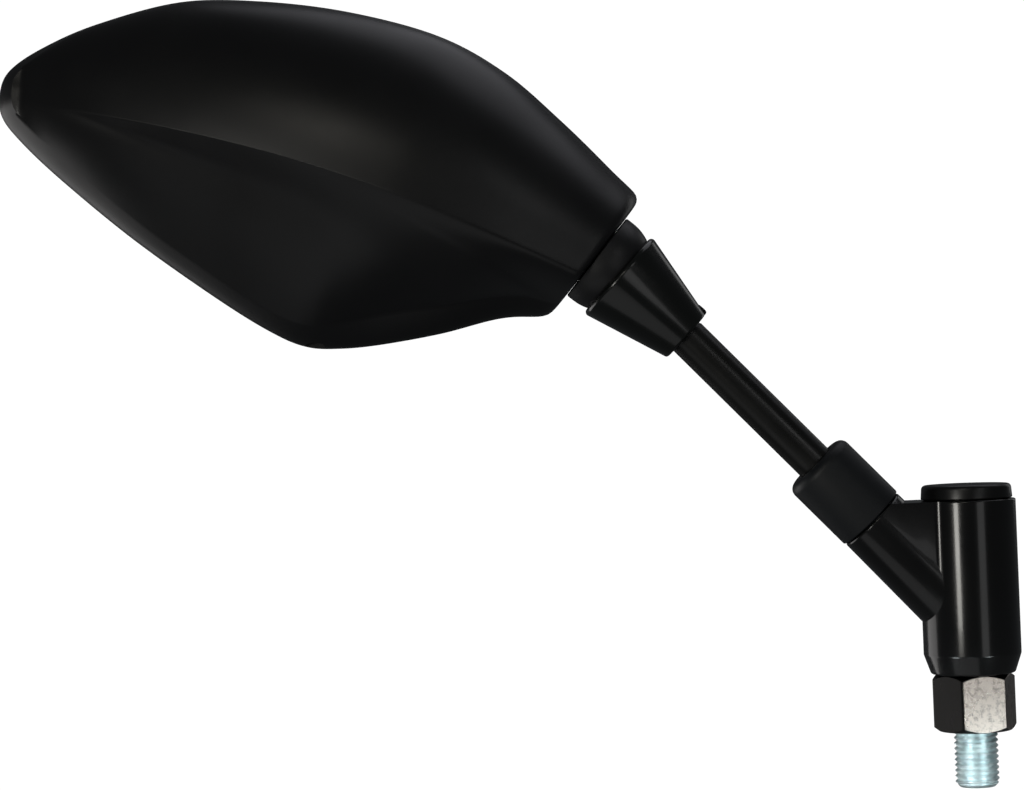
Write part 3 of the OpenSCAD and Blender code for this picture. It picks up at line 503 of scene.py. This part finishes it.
# Ball joint
# The ball sits in a nylon liner and against a nylon seat with a coil spring behind it, all held
# by a blackened steel ring screwed into the dome of the head's die-cast bracket.

dress("ball_liner", nylon)
dress("rear_seat", nylon)
dress("seat_spring", spring_steel)
ring_black = finish("ring_black", (0.011, 0.011, 0.012), 0.38, grain=1500, depth=0.01)
dress("socket_ring", ring_black)

socket_lean = 49.9
ball = np.array([-81.2763, 0.0, 111.3582])
brim_z, brow_z, ledge_z = 1.6, 1.93, 1.94
bracket = bpy.data.objects.new("bracket_cast", nodes["head_bracket"].data.copy())
bpy.context.collection.objects.link(bracket)
bracket.data.materials.clear()
work = bmesh.new()
work.from_mesh(bracket.data)
bmesh.ops.remove_doubles(work, verts=work.verts, dist=1e-6)
work.to_mesh(bracket.data)
work.free()
spots = np.empty(len(bracket.data.vertices) * 3)
bracket.data.vertices.foreach_get("co", spots)
c, s = cos(radians(socket_lean)), sin(radians(socket_lean))
lean_turn = np.array([[c, 0, -s], [0, 1, 0], [s, 0, c]])
local = (spots.reshape(-1, 3) * 1000 - ball) @ lean_turn
far = np.hypot(local[:, 0], local[:, 1])
# The dome's edges, picked by their radius and height, move along the socket's axis
brim = (far > 10.7) & (local[:, 2] > 0.1) & (local[:, 2] < 0.35)
brow = (far > 10.7) & (local[:, 2] > 0.35) & (local[:, 2] < 0.7)
ledge = (far > 6.6) & (far < 6.9) & (local[:, 2] > 2.1) & (local[:, 2] < 2.3)
local[brim, 2] = brim_z
local[brow, 2] = brow_z
local[ledge, 2] = ledge_z
bracket.data.vertices.foreach_set("co", ((local @ lean_turn.T + ball) * 0.001).ravel())
bracket.data.update()
outward(bracket, 24)
alloy = finish("cast_alloy_black", (0.011, 0.011, 0.012), 0.42, grain=1500, depth=0.012)
fit(bracket, alloy, "head", "head_bracket")

# Housing
# One thin moulding in matt black plastic, screwed to the bracket: a sculpted back with a bowed
# crease, a rim band, an end wall with the socket's mouth, a drain notch, the glass's pocket and
# six screw posts inside. u runs from the ball to the tip and v up, in millimetres.

head_slope = radians(20)
along_u = np.array([-cos(head_slope), 0.0, sin(head_slope)])
along_v = np.array([sin(head_slope), 0.0, cos(head_slope)])
behind = np.array([0.0, 1.0, 0.0])
socket_axis = np.array([-sin(radians(socket_lean)), 0.0, cos(radians(socket_lean))])
socket_uv = np.array([socket_axis @ along_u, socket_axis @ along_v])

rim_points = np.array([
    [145.9, -4.6], [145.2, 1], [139.6, 8.2], [129.1, 17.4], [112.2, 28.2], [94.4, 34.1],
    [73.9, 38], [52.4, 39], [35.1, 35.6], [19.3, 28.9], [5, 21.7], [-6, 15.5], [-12, 6], [-14, -4.6],
    [-8, -11], [8.9, -16], [18.6, -19.4], [30.8, -27], [43.4, -33.7], [52, -37.4], [59.5, -39.4],
    [68, -38.8], [82.3, -35.3], [105.4, -28], [126, -19.8], [138, -14], [143.8, -9.8]])
rim_steps = 10
rim_back, wall = 10.0, 2.4
crest_h, neck_h, band_h, brow_h = 31.0, 22.5, 8.0, 5.0
band_w, brow_w, band_swell, step_h = 4.2, 0.9, 2.8, 5.0
pocket_h, pocket_part = 2.2, 0.45
end_gap, mouth_r = 2.0, 8.7
pole_u, crest_u, tip_end, neck_end = 75.0, 50.0, 143.2, -12.6
crease_v, crease_bow, crease_end, crease_span = -4.6, 4.5, 130.5, 125.8
notch_r, notch_deep, notch_bridge, notch_shift, notch_sample = 2.3, 1.8, 1.2, 0.4, 197
bracket_holes = [(39, 12, -2.05), (39, -6, -2.05), (21, 4, -2.05)]
carrier_holes = [(66, 22, 3.25), (100, 4, 3.25), (62, -17, 3.25)]
post_r, hole_r, screw_in = 4.0, 2.0, 7.0


def closed_curve(points, steps):
    """A closed Catmull-Rom curve: each point and the next are joined by the cubic whose end slopes
    are half the chord of their neighbours."""
    t = (np.arange(steps) / steps)[None, :, None]
    a, b = np.roll(points, 1, 0)[:, None], points[:, None]
    c, d = np.roll(points, -1, 0)[:, None], np.roll(points, -2, 0)[:, None]
    square, cube = 2 * a - 5 * b + 4 * c - d, 3 * b - a - 3 * c + d
    curve = 0.5 * (2 * b + (c - a) * t + square * t ** 2 + cube * t ** 3)
    return curve.reshape(-1, 2)


def smooth(x):
    """Zero to one with level ends: three times the square less twice the cube."""
    t = np.clip(x, 0, 1)
    return t * t * (3 - 2 * t)


def crease(u):
    """The crease's v at u: half a sine wave between the neck and the tip, over a level line."""
    return crease_v + crease_bow * np.sin(pi * np.clip((crease_end - u) / crease_span, 0, 1))


def band(spread):
    """The band's width round the rim: wide and swollen below the crease, narrow above it and above
    the stem's end, changing over the given distance by the smooth step."""
    over = np.maximum(smooth((rim[:, 1] - crease(rim[:, 0]) + 4) / spread), smooth((14 - rim[:, 0]) / 16))
    low = band_w + band_swell * np.exp(-((rim[:, 0] - 40) / 18) ** 2)
    return low + (brow_w - low) * over, over


rim = closed_curve(rim_points, rim_steps)
chord = np.roll(rim, -1, 0) - np.roll(rim, 1, 0)
chord /= np.linalg.norm(chord, axis=1)[:, None]
inward = np.stack([-chord[:, 1], chord[:, 0]], 1)
pocket_width = band(7)[0]
band_width, over = band(24)
band_height = band_h + (brow_h - band_h) * over
neck_sample = 13 * rim_steps


def clip_end(points, gap, soft=1.6):
    """Points short of the end wall's plane are moved onto it along the socket's axis: the share
    (root of d squared and soft squared, less d) halved gives a soft corner where it is met."""
    d = points @ socket_uv - gap
    return points + ((np.sqrt(d * d + soft * soft) - d) / 2)[..., None] * socket_uv


def round_end(points, radius=2.3):
    """Rounds the outline's corners at the end wall: the share across the wall shrinks towards it by
    a quarter circle's drop."""
    across = np.array([-socket_uv[1], socket_uv[0]])
    wide = clip_end(rim, end_gap) @ across
    low, high = wide[rim[:, 0] < 20].min(), wide[rim[:, 0] < 20].max()
    near = np.clip(points @ socket_uv - end_gap, 0, radius)
    drop = radius - np.sqrt(radius ** 2 - (radius - near) ** 2)
    share = (points @ across - (low + high) / 2) / ((high - low) / 2)
    return points - (drop * share * np.where(share > 0, 1, 0.4))[..., None] * across


def crest(u, thick):
    """The crease's height over the rim plane: a flattened quarter ellipse to the tip, a power curve
    down to the neck, and a quarter ellipse that closes it beyond."""
    to_tip = np.clip((u - crest_u) / (tip_end - crest_u), 0, 1)
    out = brow_h + (crest_h - brow_h) * np.power(1 - to_tip ** 2, 0.85)
    high = crest_h - (crest_h - neck_h) * np.power(np.clip((crest_u - u) / crest_u, 0, None), 1.7)
    close = np.sqrt(np.clip(1 - np.clip((2 - u) / (2 - neck_end - thick), 0, None) ** 2, 0, 1))
    return np.where(u > crest_u, out, brow_h + (high - brow_h) * close)


def facet(m, u, t):
    """The drop under the crease: a ramp as wide as the facet that levels off, deeper away from the
    tip and softer at the neck."""
    width = np.where(u > 67, 0.14 * np.maximum(4, crease_end - u), 8.9 + 0.25 * (67 - u))
    x = np.maximum(-m, 0) / width
    deep = step_h * smooth((crease_end - u) / 45) * (0.35 + 0.65 * smooth((u - 5) / 50))
    return deep * x / (1 + x ** 6) ** (1 / 6) * (1 - t * t)


def height(u, m, low, thick, edge):
    """The back's height over the rim plane, at m above the crease: from the crest it rolls over to
    the band by powers of the share of the way."""
    first, last = edge[:neck_sample + 1], np.vstack([edge[neck_sample:], edge[:1]])
    above = np.interp(-u, -first[:, 0], first[:, 1] - crease(first[:, 0]))
    below = np.interp(u, last[:, 0], last[:, 1] - crease(last[:, 0]))
    t = np.clip(np.abs(m) / np.maximum(0.05, np.abs(np.where(m > 0, above, below))), 0, 1)
    top = np.maximum(low, crest(u, thick))
    shape = np.where(m > 0, (1 - t ** 2.4) ** 0.62, 1 - t ** 1.7)
    return low + (top - low) * shape - facet(m, u, t)


def back_skin(shares, thick, gap, fillet):
    """Rings of the outer or inner skin, from the pole on the crease to the band or the end wall,
    whose edge is rounded by a quarter circle."""
    edge = rim + inward * (band_width + thick)[:, None]
    ends = clip_end(edge, gap)
    far = ends - [pole_u, 0]
    far[:, 1] = ends[:, 1] - crease(ends[:, 0])
    u = pole_u + shares[:, None] * far[None, :, 0]
    m = shares[:, None] * far[None, :, 1]
    v = m + crease(u)
    h = height(u, m, band_height[None, :], thick, edge)
    near = np.clip(np.stack([u, v], -1) @ socket_uv - gap, 0, fillet)
    h -= fillet - np.sqrt(fillet ** 2 - (fillet - near) ** 2)
    return np.stack([u, v, thick - h], -1), ends


def in_head(points):
    """From u, v and depth behind the ball, in the head's frame, to metres in the shared frame."""
    return (ball + points[..., :1] * along_u + points[..., 1:2] * along_v + points[..., 2:] * behind) * 0.001


def rings_mesh(name, rings, first=None, last=None):
    """A closed body from rings of equal length: a fan to a point closes each end, or without points
    the last ring meets the first."""
    rows, count = rings.shape[:2]
    verts, faces = rings.reshape(-1, 3), ring_faces(rows, count, first is None)
    if first is not None:
        around = np.arange(count)
        ahead, end = (around + 1) % count, (rows - 1) * count
        verts = np.vstack([verts, first, last])
        faces += np.stack([ahead, around, np.full(count, rows * count)], 1).tolist()
        faces += np.stack([end + around, end + ahead, np.full(count, rows * count + 1)], 1).tolist()
    return surface(name, in_head(verts), faces)


def peg(name, u, v, radius, low, high, count=48):
    """A closed round bar in the head, across its plane, from a depth, or None for the middle of the
    back's wall under each of its points, to another depth."""
    angle = np.arange(count) * 2 * pi / count
    ring = np.vstack([np.stack([u + radius * np.cos(angle), v + radius * np.sin(angle)], 1), [[u, v]]])
    if low is None:
        edge = rim + inward * (band_width + wall / 2)[:, None]
        over_crease = ring[:, 1] - crease(ring[:, 0])
        back = height(ring[:, 0], over_crease, np.full(count + 1, band_h), wall / 2, edge)
        low = rim_back + wall / 2 - back
    foot = np.column_stack([ring, low + np.zeros(count + 1)])
    top = np.column_stack([ring, np.full(count + 1, high)])
    made = rings_mesh(name, np.stack([foot[:-1], top[:-1]]), foot[-1], top[-1])
    outward(made)
    return made


outer_shares = np.append([0.002, 0.006, 0.013, 0.024], 1 - (1 - np.arange(1, 41) / 40) ** 1.6)
outer, outer_ends = back_skin(outer_shares, 0.0, end_gap, 1.2)
outer[..., :2], outer_ends = round_end(outer[..., :2]), round_end(outer_ends)
rim_ends = round_end(clip_end(rim, end_gap))
# The band's section from its inner edge down to the rim: a slope that rolls to upright
roll = (np.arange(1, 13) / 12)[:, None]
across_band = (1 - roll) ** 3 + 3 * (1 - roll) ** 2 * roll * 0.42
down_band = (1 - roll) ** 3 + 3 * (1 - roll) ** 2 * roll * 0.62 + 3 * (1 - roll) * roll ** 2 * 0.30
lip = 0.5
side_uv = rim_ends[None] + (outer_ends - rim_ends)[None] * across_band[..., None]
side_depth = outer[-1, :, 2][None] * down_band - lip * (1 - down_band)
side = np.concatenate([side_uv, side_depth[..., None]], -1)
# The lip's quarter circle, the flat rim and the pocket's wall
turn = np.linspace(0, pi / 2, 5)[1:, None]
into = round_end(clip_end(rim + inward, end_gap + 1)) - rim_ends
into /= np.linalg.norm(into, axis=1)[:, None]
lip_uv = rim_ends[None] + into[None] * (lip * (1 - np.cos(turn)))[..., None]
lip_depth = np.broadcast_to((-lip * (1 - np.sin(turn)))[..., None], lip_uv.shape[:2] + (1,))
lip_ring = np.concatenate([lip_uv, lip_depth], -1)
pocket_uv = clip_end(rim + inward * (wall + pocket_part * pocket_width)[:, None], end_gap + wall)
pocket = np.stack([np.column_stack([pocket_uv, np.full(len(rim), z)]) for z in (0.0, -0.25, -pocket_h)])
inner_shares = 1 - (1 - np.arange(1, 17) / 16) ** 1.6
inner = back_skin(inner_shares, wall, end_gap + wall, 0.6)[0]
skin = np.concatenate([outer, side, lip_ring, pocket, inner[::-1]])
skin[..., 2] += rim_back
poles = [[pole_u, crease(pole_u), rim_back + t - crest(np.array(pole_u), t)] for t in (0.0, wall)]
housing = rings_mesh("housing_shell", skin, *poles)
outward(housing, 38)
for name, holes in (("bracket_post", bracket_holes), ("carrier_post", carrier_holes)):
    for u, v, top in holes:
        combine(housing, peg(name, u, v, post_r, None, top), "UNION")
        combine(housing, peg("post_bore", u, v, hole_r, top - screw_in - 0.3, top + 1), "DIFFERENCE")
mouth = turned("mouth_cutter", [mouth_r, mouth_r], [end_gap - 3, end_gap + 6], ball, socket_lean)
combine(housing, mouth, "DIFFERENCE")
# The drain notch: half an oval under a thin bridge at the rim, cut through the band
notch_u, notch_v = rim[notch_sample]
notch_angle = np.linspace(pi, 2 * pi, 25)
oval = np.stack([notch_r * np.cos(notch_angle), notch_deep * np.sin(notch_angle)], 1)
notch = np.vstack([[[notch_r, notch_bridge]], [[-notch_r, notch_bridge]], oval])
count = len(notch)
notch_at, notch_depth = notch_u + notch_shift + notch[:, 0], rim_back - 1.9 + notch[:, 1]
level = [np.column_stack([notch_at, np.full(count, notch_v + h), notch_depth]) for h in (-3, 9)]
ends = [list(range(count)), list(range(2 * count - 1, count - 1, -1))]
drain = surface("drain_cutter", in_head(np.vstack(level)), ring_faces(2, count, False) + ends)
outward(drain)
combine(housing, drain, "DIFFERENCE")
outward(housing, 38)
grained = finish("housing_moulding", (0.007, 0.007, 0.0075), 0.36, grain=2600, depth=0.006, spread=0.03)
fit(housing, grained, "head", "housing")

# Carrier, pad and screws
# Inside the head: a plain black plastic plate that carries the glass, a foam pad between the two,
# and six pan-head screws, three into the posts through the bracket and three through the carrier.

carrier_plastic = finish("carrier_plastic", (0.02, 0.02, 0.02), 0.5, grain=2000, depth=0.01)
foam = finish("foam", (0.2, 0.2, 0.2), 0.9, grain=1500, depth=0.1)
dress("carrier_plate", carrier_plastic)
dress("glass_pad", foam)
for name in ("bracket_screws", "carrier_screws"):
    dress(name, screw_zinc)

# Mirror glass
# A slightly convex glass with its silver at the back, ground to the head's outline with a small
# chamfer, bonded to the carrier and held at its edge by the frame.

glass_centre, glass_apex, glass_t, glass_curve, glass_in = 72.0, 11.2, 2.0, 1200.0, 2.64
bevel = 0.4


def inset(distance):
    """The pocket's outline moved in by a distance, cut off by the end wall's plane."""
    line = rim + inward * (wall + pocket_part * pocket_width + distance)[:, None]
    return clip_end(line, end_gap + wall + distance, 0.05)


def bulge(line, drop):
    """Points of an outline on the glass's sphere, a distance under its face."""
    far = np.hypot(line[..., 0] - glass_centre, line[..., 1])
    depth = glass_apex - drop - (glass_curve - np.sqrt(glass_curve ** 2 - far ** 2))
    return np.concatenate([line, depth[..., None]], -1)


glass_edge, glass_mid = inset(glass_in), np.array([glass_centre, 0.0])
shares = np.linspace(0, 1, 25)[1:, None, None]
face = glass_mid + shares * (inset(glass_in + bevel) - glass_mid)
glass_rings = np.concatenate([bulge(face, 0), bulge(glass_edge[None], bevel),
                              bulge(glass_edge[None], glass_t - bevel / 2),
                              bulge(face[-1:], glass_t), bulge(face[:-1][::-1], glass_t)])
glass = rings_mesh("glass_ground", glass_rings, bulge(glass_mid[None], 0), bulge(glass_mid[None], glass_t))
outward(glass, 20)
silver = finish("silvered_glass", (0.86, 0.88, 0.90), 0.03, metal=1.0, spread=0.01, grain=50, depth=0.0,
                tint=0.01)
fit(glass, silver, "head", "mirror_glass")

# Glass frame
# A narrow ring moulded in black plastic, pressed into the pocket round the glass, rounded where it
# stands proud of the housing's rim.

frame_outer, frame_inner, frame_low, frame_high, bead_r = 0.04, 2.4, 7.81, 10.5, 0.4
corner = [(bead_r * (1 - cos(a)), bead_r * (1 - sin(a))) for a in np.linspace(0, pi / 2, 5)]
section = [(frame_outer, frame_low)]
section += [(frame_outer + along, frame_high - down) for along, down in corner]
section += [(frame_inner - along, frame_high - down) for along, down in corner[::-1]]
section += [(frame_inner, frame_low)]
frame_rings = np.stack([np.column_stack([inset(w), np.full(len(rim), y)]) for w, y in section])
glass_frame = rings_mesh("frame_moulded", frame_rings)
outward(glass_frame, 30)
frame_plastic = finish("frame_plastic", (0.012, 0.012, 0.012), 0.4, grain=1800, depth=0.01)
fit(glass_frame, frame_plastic, "head", "glass_frame")
